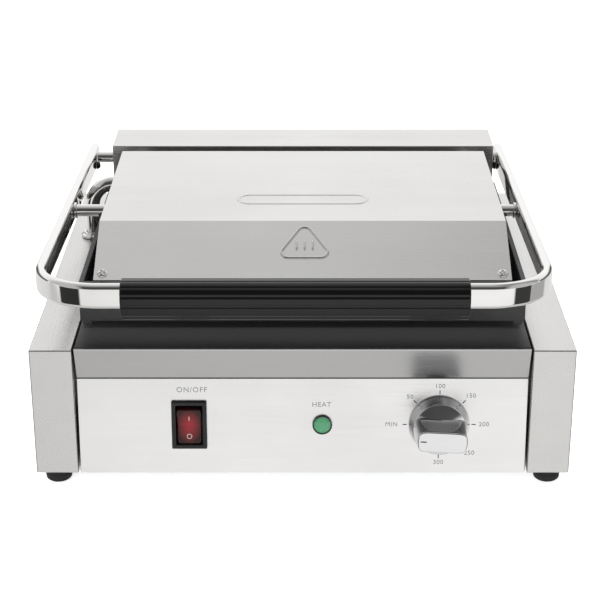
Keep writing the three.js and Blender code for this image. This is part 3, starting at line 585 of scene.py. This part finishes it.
def makeGrip(grip):
    # sleeve: a superellipse (x to the n plus z to the n is constant) with shallow round grooves at even
    # angles, its lower half drawn out by the keel, carried along the bar, its ends rolled in to the bore
    low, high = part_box("handle_grip")
    turn = fullTurn(240)
    n = grip["squareness"]
    outer = grip["half"] * (np.abs(np.cos(turn)) ** n + np.abs(np.sin(turn)) ** n) ** (-1 / n)
    pitch = 360 / grip["flutes"]
    away = (np.degrees(turn) - grip["firstFlute"] + pitch / 2) % pitch - pitch / 2
    outer = outer - grip["fluteDepth"] * np.exp(-(away / grip["fluteWidth"]) ** 2)
    w, h = handle["thickness"] / 2 + grip["clearance"], handle["height"] / 2 + grip["clearance"]
    bar = filletOutline([(-w, -h), (w, -h), (w, h), (-w, h)], handle["edge"], 8)
    order = np.argsort(np.arctan2(bar[:, 1], bar[:, 0]) % (2 * np.pi))
    angles = (np.arctan2(bar[:, 1], bar[:, 0]) % (2 * np.pi))[order]
    bore = np.interp(turn, angles, np.hypot(bar[:, 0], bar[:, 1])[order], period=2 * np.pi)
    rim = grip["rim"]
    bend = np.linspace(0, np.pi / 2, 5)
    inset = rim * (1 - np.sin(bend))
    shift = rim * (1 - np.cos(bend))
    start, end = low[0] / mm, high[0] / mm
    stations = np.concatenate([start + shift, np.linspace(start + 8, end - 8, 8), end - shift[::-1],
                               [end - 0.3, start + 0.3]])
    rings = np.concatenate([outer[None] - inset[:, None], np.repeat(outer[None], 8, axis=0),
                            outer[None] - inset[::-1, None], bore[None], bore[None]])
    centre = (handle["front"] * mm - hinge[1]) / math.cos(handle["slope"]) / mm + handle["thickness"] / 2
    y = centre + rings * np.cos(turn)
    z = rings * np.sin(turn)
    z[:-2] *= np.where(np.sin(turn) < 0, grip["keel"], 1.0)
    points = handleToFrame(np.broadcast_to(stations[:, None], y.shape) * mm, y * mm, z * mm)
    return meshPiece("gripSleeve", points, gridFaces(*points.shape[:2], wrapRows=True))


standIn(makeGrip(grip), "handle_grip", "grip", 60)
print("handle made")

# Rods, bushes, collars and screws
rodChamfer = 0.6 * mm
for node in ("cross_rod", "hinge_shaft"):
    low, high = (np.array(v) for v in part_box(node))
    middle = (low + high) / 2
    radius, length, c = (high[2] - low[2]) / 2, high[0] - low[0], rodChamfer
    profile = [(0, 0), (radius - c, 0), (radius, c), (radius, length * 0.25), (radius, length * 0.5),
               (radius, length * 0.75), (radius, length - c), (radius - c, length), (0, length)]
    piece = lathePiece(node + "Turned", profile, (low[0], middle[1], middle[2]), xAxis, (0, 0, 1), 48)
    standIn(piece, node, "mirror")

rings = {  # closed profiles of radius and distance inwards from the outer end, in mm; edge rounding; finish
    "rod_collar": ([(5.3, 0), (6.5, 0), (6.5, 2.4), (5.3, 2.4)], 0.35, "mirror"),
    "lid_bush": ([(5.4, 0), (7.2, 0), (7.2, 2.6), (9, 2.6), (9, 4.6), (5.4, 4.6)], 0.35, "black"),
    "hinge_bush": ([(5.4, 0), (8, 0), (8, 3), (9.5, 3), (9.5, 5), (5.4, 5)], 0.3, "black"),
}
for kind, (corners, radius, finish) in rings.items():
    profile = filletOutline(np.array(corners) * mm, radius * mm, 4)
    for side, inwards in (("left", 1), ("right", -1)):
        node = kind + "_" + side
        low, high = (np.array(v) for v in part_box(node))
        middle = (low + high) / 2
        origin = (low[0] if inwards > 0 else high[0], middle[1], middle[2])
        piece = ringPiece(node + "Turned", profile, origin, inwards * xAxis, (0, 0, 1), 40)
        standIn(piece, node, finish)


def headGrid(radius, rise, recess, rings=26, segments=72):
    # pan head: height falls with the square of the radius, and faster at the rim; the cross recess is a
    # smooth step down inside either of its two arms, whose sizes are shares of the radius
    armWidth, armLength = 0.13, 0.56
    r = np.linspace(0.02, 1, rings)[:, None]
    a = fullTurn(segments)[None, :]
    x, y = r * np.cos(a), r * np.sin(a)
    height = rise * (1 - 0.55 * r ** 2 - 0.35 * r ** 8) * np.ones_like(a)
    across, upright = np.abs(x), np.abs(y)
    arm = np.minimum(np.maximum(across / armWidth, upright / armLength),
                     np.maximum(upright / armWidth, across / armLength))
    cut = 1 / (1 + np.exp((arm - 1) * 9))
    return radius * x, radius * y, height - recess * cut


def screwPiece(node, centre, axis, side, radius, rise, recess, finish):
    # head as a height field over a disc, with a plain foot ring that closes it below
    x, y, height = headGrid(radius, rise, recess)
    axis, side = np.asarray(axis, float), np.asarray(side, float)
    third = np.cross(axis, side)
    x = np.concatenate([x, x[-1:], x[-1:] * 0.05])
    y = np.concatenate([y, y[-1:], y[-1:] * 0.05])
    height = np.concatenate([height, 0 * height[-1:], 0 * height[-1:]])
    points = np.asarray(centre) + x[..., None] * side + y[..., None] * third + height[..., None] * axis
    piece = tubePiece(node + "Head", points)
    return standIn(piece, node, finish, 40)


slope = math.atan2(27.6, 55)  # the cover's front rises 27.6 mm over 55 mm
slopeUp = np.array([0, math.cos(slope), math.sin(slope)])
slopeOut = np.array([0, -math.sin(slope), math.cos(slope)])
screw = {"radius": 4.2 * mm, "rise": 2.6 * mm, "recess": 1.5 * mm, "turned": {"left": 0.5, "right": 0.15}}
armScrew = {"radius": 3.6 * mm, "rise": 3.6 * mm, "recess": 1.0 * mm}
panHead = (screw["radius"], screw["rise"], screw["recess"], "mirror")
domeHead = (armScrew["radius"], armScrew["rise"], armScrew["recess"], "black")
for side, sign in (("left", -1), ("right", 1)):
    low, high = (np.array(v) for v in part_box("lid_screw_front_" + side))
    centre = (low + high) / 2 - slopeOut * screw["rise"] / 2
    spin = screw["turned"][side]
    screwPiece("lid_screw_front_" + side, centre, slopeOut, math.cos(spin) * xAxis + math.sin(spin) * slopeUp,
               *panHead)
    low, high = (np.array(v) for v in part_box("lid_screw_rear_" + side))
    centre = ((low[0] + high[0]) / 2, low[1], (low[2] + high[2]) / 2)
    screwPiece("lid_screw_rear_" + side, centre, (0, 1, 0), (0.9, 0, 0.436), *panHead)
    low, high = (np.array(v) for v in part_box("arm_screw_" + side))
    centre = (high[0] if sign > 0 else low[0], (low[1] + high[1]) / 2, (low[2] + high[2]) / 2)
    screwPiece("arm_screw_" + side, centre, -sign * xAxis, (0, 1, 0), *domeHead)
print("rods and screws made")

# Control panel: a frame of its own, leant back, x to the right, up along the panel, out towards the user
panel = {"lean": 0.084, "foot": (0.5, 12.3), "rise": 40.0, "knobX": 104.2, "lampX": 15.0, "switchX": -86.5}
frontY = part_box("side_pod_left")[0][1]


def onPanel(x, up, out):  # millimetres on the panel to metres in the frame
    s = panel["lean"]
    x, up, out = np.broadcast_arrays(np.asarray(x, float), np.asarray(up, float), np.asarray(out, float))
    y = frontY + (panel["foot"][0] - out * math.cos(s) + up * math.sin(s)) * mm
    z = (panel["foot"][1] + out * math.sin(s) + up * math.cos(s)) * mm
    return np.stack([x * mm, y, z], axis=-1)


knob = {"radius": 23.2, "face": 20.4, "skirt": 11.0, "length": 36.0, "bar": 17.4, "tip": 18.6, "round": 1.0,
        "turned": -3.0}


def makeKnob(knob):
    # skirt: a cone turned about the shaft with rolled edges. Grip bar: a round-ended outline carried
    # outwards, its half height growing from the tip to the skirt, its rim rolled over
    turn = fullTurn(96)
    r, f, s = knob["radius"], knob["face"], knob["skirt"]
    profile = filletOutline([(0.05, 0.6), (r - 0.2, 0.6), (r, 2.2), (f, s), (0.05, s + 4.4)],
                            [0.01, 0.4, 0.6, 1.3, 0.01], 8)
    x = panel["knobX"]
    skirt = onPanel(x + profile[:, :1] * np.cos(turn), panel["rise"] + profile[:, :1] * np.sin(turn),
                    np.repeat(profile[:, 1:], len(turn), axis=1))
    skirtPiece = tubePiece("knobSkirt", skirt)
    roll = math.radians(knob["turned"])
    half = knob["bar"] / 2
    start, end = s - 0.6, knob["length"]
    straight = np.linspace(start, end - knob["round"], 14)
    bend = np.linspace(0, np.pi / 2, 6)[1:]
    out = np.concatenate([straight, end - knob["round"] * (1 - np.sin(bend))])
    inset = np.concatenate([0 * straight, knob["round"] * (1 - np.cos(bend))])
    away = (end - out) / (end - start)
    reach = knob["tip"] + (knob["face"] - knob["tip"]) * away - inset
    height = half - 0.5 + 0.5 * away ** 2 + 1.6 * away ** 9 - inset
    # a circle clipped at the bar's height, the corner eased by a high power blend
    n = 9.0
    c, q = np.cos(turn)[None], np.sin(turn)[None]
    limit = (1.0 / reach[:, None] ** n + np.abs(q) ** n / height[:, None] ** n) ** (-1 / n)
    u, v = limit * c, limit * q
    u2 = u * math.cos(roll) - v * math.sin(roll)
    v2 = u * math.sin(roll) + v * math.cos(roll)
    cap = np.linspace(0.96, 0.02, 8)[:, None]
    u2 = np.concatenate([u2, u2[-1:] * cap])
    v2 = np.concatenate([v2, v2[-1:] * cap])
    out = np.concatenate([out, np.full(8, end) - 0.25 * (1 - cap[:, 0])])
    bar = onPanel(x + u2, panel["rise"] + v2, np.repeat(out[:, None], len(turn), axis=1))
    barPiece = tubePiece("knobBar", bar)
    return skirtPiece, barPiece


for piece in makeKnob(knob):
    standIn(piece, "thermostat_knob", "knob", 50)


def padPiece(name, outlines, body, finish, out, thick=0.12, place=onPanel):
    # flat printed or moulded marks: each outline is a closed loop in mm, given a little thickness
    points, faces, start = [], [], 0
    for outline in outlines:
        loop = np.asarray(outline, float)
        low = place(loop[:, 0], loop[:, 1], out)
        high = place(loop[:, 0], loop[:, 1], out + thick)
        points.append(np.stack([low, high]))
        faces += [[int(i) + start for i in face] for face in tubeFaces(2, len(loop))]
        start += 2 * len(loop)
    piece = meshPiece(name, np.concatenate([p.reshape(-1, 3) for p in points]), faces, smooth=False)
    return clothe(settle(piece, body), finishes[finish])


def strokeLoop(x0, y0, x1, y1, width):  # a round-ended stroke from one point to another
    along = math.atan2(y1 - y0, x1 - x0)
    turn = np.linspace(-np.pi / 2, np.pi / 2, 7)
    tip = np.stack([x1 + width / 2 * np.cos(along + turn), y1 + width / 2 * np.sin(along + turn)], axis=1)
    heel = np.stack([x0 - width / 2 * np.cos(along + turn), y0 - width / 2 * np.sin(along + turn)], axis=1)
    return np.concatenate([tip, heel])


def textPiece(name, words, x, up, cap, finish, spacing=1.1):
    # lettering as a filled curve made mesh, then laid on the panel and printed 0.1 mm proud
    curve = bpy.data.curves.new(name, "FONT")
    curve.body = words
    curve.size = cap / 0.7
    curve.align_x, curve.align_y = "CENTER", "CENTER"
    curve.space_character = spacing
    curve.extrude = 0.05
    curve.resolution_u = 4
    holder = bpy.data.objects.new(name + "Curve", curve)
    bpy.context.scene.collection.objects.link(holder)
    mesh = bpy.data.meshes.new_from_object(holder.evaluated_get(bpy.context.evaluated_depsgraph_get()))
    bpy.data.objects.remove(holder)
    flat = np.empty(len(mesh.vertices) * 3)
    mesh.vertices.foreach_get("co", flat)
    flat = flat.reshape(-1, 3)
    mesh.vertices.foreach_set("co", onPanel(x + flat[:, 0], up + flat[:, 1], 0.06 + flat[:, 2]).ravel())
    mesh.materials.clear()
    piece = bpy.data.objects.new(name, mesh)
    bpy.context.scene.collection.objects.link(piece)
    mesh.shade_flat()
    return clothe(settle(piece, "base"), finishes[finish])


scale = {"ticks": (180, 135, 90, 45, 0, -45, -90), "words": ("MIN", "50", "100", "150", "200", "250", "300"),
         "tick": (25.0, 27.6), "wordsAt": (36.5, 32.0, 31.2, 33.2, 34.2, 33.4, 31.4), "cap": 3.5}
loops = []
for degrees, words, far in zip(scale["ticks"], scale["words"], scale["wordsAt"]):
    c, s = math.cos(math.radians(degrees)), math.sin(math.radians(degrees))
    near, outer = scale["tick"]
    loops.append(strokeLoop(panel["knobX"] + near * c, panel["rise"] + near * s,
                            panel["knobX"] + outer * c, panel["rise"] + outer * s, 0.7))
    textPiece("scale" + words, words, panel["knobX"] + far * c, panel["rise"] + far * s, scale["cap"], "ink")
padPiece("scaleTicks", loops, "base", "darkInk", 0.01)
textPiece("switchWords", "ON/OFF", panel["switchX"] + 2.4, panel["rise"] + 28.2, 4.1, "ink", 1.15)
textPiece("lampWord", "HEAT", panel["lampX"] - 0.6, panel["rise"] + 16.2, 3.9, "ink", 1.1)
pointer = strokeLoop(panel["knobX"] - 16.2, panel["rise"] + 0.9,
                     panel["knobX"] - 12.4, panel["rise"] + 0.7, 0.9)
padPiece("knobPointer", [pointer], "knob", "darkInk", knob["length"] - 0.12, 0.2)

# Rocker: two rounded faces that meet at a shallow ridge, with its marks printed in white
rocker = {"width": 19.0, "height": 29.6, "travel": 0.12, "pivot": 6.0, "front": 6.0, "lift": 3.2}


def onRocker(x, up, out):  # millimetres on the rocker's own frame, turned about its pivot behind the panel
    x, up, out = np.broadcast_arrays(np.asarray(x, float), np.asarray(up, float), np.asarray(out, float))
    a = rocker["travel"]
    depth = -out * math.cos(a) - up * math.sin(a)
    rise = -out * math.sin(a) + up * math.cos(a)
    return onPanel(panel["switchX"] + x, panel["rise"] + rise, -(rocker["pivot"] + depth))


def makeRocker(rocker):
    # superellipse outline carried outwards; the front face falls from each end to the line across its middle
    turn = fullTurn(88)
    n = 10
    unit = (np.abs(np.cos(turn)) ** n + np.abs(np.sin(turn)) ** n) ** (-1 / n)
    levels = np.array([-4.0, 3.0, 5.0, 5.5, 5.8, rocker["front"]])
    inset = np.array([0.0, 0.0, 0.0, 0.15, 0.5, 1.0])
    shrink = np.linspace(0.93, 0.02, 16)
    w, h = rocker["width"] / 2, rocker["height"] / 2
    x = np.concatenate([w - inset, (w - 1) * shrink])[:, None] * unit * np.cos(turn)
    up = np.concatenate([h - inset, (h - 1) * shrink])[:, None] * unit * np.sin(turn)
    out = np.concatenate([levels, np.full(16, rocker["front"])])[:, None] * np.ones_like(turn)
    out = np.where(out > 0, out + rocker["lift"] * np.abs(up) / h, out)
    points = onRocker(x, up, out)
    return tubePiece("rockerCap", points)


standIn(makeRocker(rocker), "switch_rocker", "rocker", 50)


def markOnRocker(x, up, out):  # the same, but out is measured from the falling front face
    return onRocker(x, up, out + rocker["lift"] * np.abs(up) / (rocker["height"] / 2))


marks = {"strokeUp": (4.8, 8.4), "stroke": 0.7, "ringUp": -8.6, "ringRadius": 1.75}
stroke = strokeLoop(0, marks["strokeUp"][0], 0, marks["strokeUp"][1], marks["stroke"])
padPiece("rockerOn", [stroke], "rocker", "whiteInk", rocker["front"], 0.12, markOnRocker)
turn = fullTurn(32)
section = np.array([(-0.35, 0.0), (0.35, 0.0), (0.35, 0.14), (-0.35, 0.14)])
radius = marks["ringRadius"] + section[:, :1]
ring = markOnRocker(radius * np.cos(turn), marks["ringUp"] + radius * np.sin(turn),
                    rocker["front"] + section[:, 1:] * np.ones_like(turn))
clothe(settle(meshPiece("rockerOff", ring, gridFaces(4, 32, wrapRows=True)), "rocker"),
       finishes["whiteInk"])


def turnedOnPanel(name, profile, x, node, finish, closed=False, segments=64):
    # radius and distance out of the panel, turned about the axis through the control's centre
    profile = np.asarray(profile, float)
    turn = fullTurn(segments)
    points = onPanel(x + profile[:, :1] * np.cos(turn), panel["rise"] + profile[:, :1] * np.sin(turn),
                     profile[:, 1:] * np.ones_like(turn))
    faces = gridFaces(len(profile), segments, wrapRows=True) if closed else tubeFaces(len(profile), segments)
    return standIn(meshPiece(name, points, faces), node, finish, 50)


bezel = filletOutline([(5.2, 0.9), (6.75, 0.9), (6.75, 2.4), (7.5, 2.3), (7.5, 0.3), (5.9, 0.3), (5.9, -14),
                       (5.2, -14)], [0.1, 0.1, 0.3, 0.35, 0.1, 0.1, 0.1, 0.1], 4)
turnedOnPanel("lampBezelRing", bezel, panel["lampX"], "lamp_bezel", "bezel", closed=True)
r = np.linspace(6.5, 0.02, 22)
dome = np.stack([r, 1.5 + 1.1 * (1 - (r / 6.5) ** 2.2)], axis=1)
lens = np.concatenate([[(0.02, -12), (4.9, -12), (4.9, 1.2), (6.5, 1.2)], dome])
turnedOnPanel("lampLens", lens, panel["lampX"], "lamp_lens", "green")
stem = [(0.02, 12), (2.6, 12), (3, 11.6), (3, -22), (0.02, -22)]
turnedOnPanel("thermostatStem", stem, panel["knobX"], "thermostat_stem", "zinc")
print("controls made")

# Conduit, its flange and ferrule
conduit = {"radius": 6.25, "bend": 20.0, "buried": 62.0, "x": -183.6, "y": 79.5, "rise": 48.5, "end": -151.0}


def makeConduit(conduit):
    # straight up out of the pod, a quarter circle, then level into the cover: a circle swept along that line;
    # two lengths that meet on the bend, because each bends with one joint
    bend = conduit["bend"]
    top = podTop / mm + conduit["rise"]
    upright = np.linspace(podTop / mm - conduit["buried"], top - bend, 26)
    turn = np.linspace(0, np.pi / 2, 22)[1:]
    level = np.linspace(conduit["x"] + bend, conduit["end"], 8)[1:]
    curve = conduit["x"] + bend * (1 - np.cos(turn))
    x = np.concatenate([np.full(upright.shape, conduit["x"]), curve, level])
    z = np.concatenate([upright, top - bend + bend * np.sin(turn), np.full(level.shape, top)])
    angle = np.concatenate([0 * upright, turn, np.full(level.shape, np.pi / 2)])
    path = np.stack([x, np.full(x.shape, conduit["y"]), z], axis=1) * mm
    across = np.stack([np.cos(angle), 0 * angle, -np.sin(angle)], axis=1)
    around = fullTurn(40)
    section = np.stack([np.cos(around), np.sin(around)], axis=1) * conduit["radius"] * mm
    seam = 39  # the point on the bend where the two lengths meet
    lower = sweepPiece("conduitTube", path[:seam + 1], across[:seam + 1], (0, 1, 0), section)
    upper = sweepPiece("conduitEnd", path[seam:], across[seam:], (0, 1, 0), section)
    return lower, upper, tuple(path[seam]), tuple(path[-len(level)])


tube, tubeEnd, seam, entry = makeConduit(conduit)
for piece in (tube, tubeEnd):
    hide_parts("conduit")
    clothe(sharpen(piece, 60), finishes["mirror"])
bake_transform(tube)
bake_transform(tubeEnd)

flange = filletOutline([(6.65, 0), (11, 0), (11, 2), (8.7, 3.2), (8.6, 4.5), (6.65, 4.5)],
                       [0.2, 0.3, 0.7, 1.2, 0.5, 0.4], 5)
flangeFoot = (conduit["x"] * mm, conduit["y"] * mm, podTop + 0.3 * mm)
piece = ringPiece("conduitFlange", flange * mm, flangeFoot, zAxis)
standIn(piece, "conduit_flange", "mirror", 50)
ferrule = filletOutline([(6.65, 0), (9.5, 0), (9.5, 2), (8, 3.4), (6.65, 3.4)], [0.2, 0.3, 0.8, 0.6, 0.4], 5)
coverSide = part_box("lid_cover")[0][0]
piece = ringPiece("conduitFerrule", ferrule * mm,
                  (coverSide - 0.3 * mm, conduit["y"] * mm, podTop + conduit["rise"] * mm), -xAxis, (0, 0, 1))
standIn(piece, "conduit_ferrule", "mirror", 50)

# Pressed beads on the cover: a rounded triangle with upright ribs on the slope, a long oval on the top
bead = {"triangleWidth": 2.8, "ribWidth": 2.2, "ovalWidth": 2.6, "height": 1.1, "ovalHeight": 0.6}
coverLow, coverHigh = (np.array(v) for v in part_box("lid_cover"))


def beadLoop(name, loop, origin, acrossAxis, upAxis, outAxis, width, height, closed=True):
    # a half-round ridge along a flat line: across by the cosine and out by the sine of the angle round it
    loop = np.asarray(loop, float)
    ahead = np.roll(loop, -1, axis=0) - np.roll(loop, 1, axis=0) if closed else np.gradient(loop, axis=0)
    ahead /= np.linalg.norm(ahead, axis=1, keepdims=True)
    side = np.stack([ahead[:, 1], -ahead[:, 0]], axis=1)
    arc = np.linspace(0, np.pi, 9)
    taper = np.ones(len(loop))
    if not closed:
        count = np.minimum(np.arange(len(loop)), np.arange(len(loop))[::-1])
        taper = np.sqrt(np.clip(count / 4, 0.02, 1))
    flat = loop[:, None] + side[:, None] * (np.cos(arc) * width / 2)[None, :, None] * taper[:, None, None]
    rise = np.sin(arc)[None] * height * taper[:, None] - 0.15
    points = (np.asarray(origin) + flat[..., :1] * mm * acrossAxis + flat[..., 1:] * mm * upAxis
              + rise[..., None] * mm * outAxis)
    rows, columns = points.shape[:2]
    faces = gridFaces(rows, columns, wrapRows=True) if closed else tubeFaces(rows, columns)
    piece = meshPiece(name, points, faces)
    return clothe(sharpen(settle(piece, "lid"), 60), finishes["bead"])


def evenLoop(loop, count):  # the same closed line with its points evenly spaced
    loop = np.concatenate([loop, loop[:1]])
    gone = np.concatenate([[0], np.cumsum(np.linalg.norm(np.diff(loop, axis=0), axis=1))])
    want = np.linspace(0, gone[-1], count, endpoint=False)
    return np.stack([np.interp(want, gone, loop[:, 0]), np.interp(want, gone, loop[:, 1])], axis=1)


triangle = {"x": 1.5, "up": 38.5, "half": 22.0, "tall": 37.0, "corner": 5.5, "ribs": (-6.2, 0.0, 6.2),
            "ribUp": (-8.6, 3.4)}
outline = filletOutline([(-triangle["half"], 0), (triangle["half"], 0), (0, triangle["tall"])],
                        triangle["corner"], 10) - (0, triangle["tall"] * 0.42)
slopeOrigin = np.array([triangle["x"] * mm, coverLow[1], coverLow[2]]) + slopeUp * triangle["up"] * mm
beadLoop("slopeTriangle", evenLoop(outline, 180), slopeOrigin, xAxis, slopeUp, slopeOut,
         bead["triangleWidth"], bead["height"])
for index, x in enumerate(triangle["ribs"]):
    rib = np.stack([np.full(17, x), np.linspace(*triangle["ribUp"], 17)], axis=1)
    beadLoop("slopeRib%d" % index, rib, slopeOrigin, xAxis, slopeUp, slopeOut, bead["ribWidth"],
             bead["height"], closed=False)

oval = {"x": 0.0, "y": -16.5, "half": (52.0, 10.5), "corner": 10.3}
w, h = oval["half"]
outline = filletOutline([(-w, -h), (w, -h), (w, h), (-w, h)], oval["corner"], 14)
beadLoop("topOval", evenLoop(outline, 240), (oval["x"] * mm, oval["y"] * mm, coverHigh[2]), xAxis,
         np.array([0.0, 1.0, 0.0]), zAxis, bead["ovalWidth"], bead["ovalHeight"])
print("cover details made")

# Feet: moulded cups with a groove and a screw boss
foot = filletOutline([(0.02, 0), (8.4, 0), (10, 1.6), (10.4, 6), (9.9, 6.6), (10.5, 7.4), (11, 11.7),
                      (2, 11.7), (2, 17), (0.02, 17)],
                     [0.005, 1, 1, 0.3, 0.3, 0.3, 0.4, 0.2, 0.2, 0.005], 4) * mm
for end in ("front", "rear"):
    for side in ("left", "right"):
        node = "foot_%s_%s" % (end, side)
        low, high = (np.array(v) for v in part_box(node))
        middle = (low + high) / 2
        piece = lathePiece(node + "Cup", foot, (middle[0], middle[1], 0), zAxis, (1, 0, 0), 56)
        standIn(piece, node, "rubber")

# Cable gland: a nut with a tapering mouth, its radius swelling with six lobes round the nut
glandMouth = 9  # from the back panel to the mouth
low, high = (np.array(v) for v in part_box("cable_gland"))
middle = (low + high) / 2
profile = np.array([(4.5, -12), (8, -12), (8, 0.3), (11.6, 0.3), (12, 0.7), (12, 3.1), (11.6, 3.5),
                    (8.7, 4.4), (8.2, 5.2), (7.5, 8.6), (7.2, glandMouth), (4.9, glandMouth), (4.5, 8.6)])
turn = fullTurn(72)
flats = 1 - 0.085 * (1 - np.abs(np.cos(3 * turn)) ** 1.2)
nut = ((profile[:, 0] > 10)[:, None] * (flats - 1) + 1) * profile[:, :1]
back = high[1] + (profile[:, 1:] - glandMouth) * mm * np.ones_like(turn)
points = np.stack([middle[0] + nut * np.cos(turn) * mm, back, middle[2] + nut * np.sin(turn) * mm], axis=-1)
piece = meshPiece("cableGlandBody", points, gridFaces(*points.shape[:2], wrapRows=True))
standIn(piece, "cable_gland", "black")
print("feet and gland made")
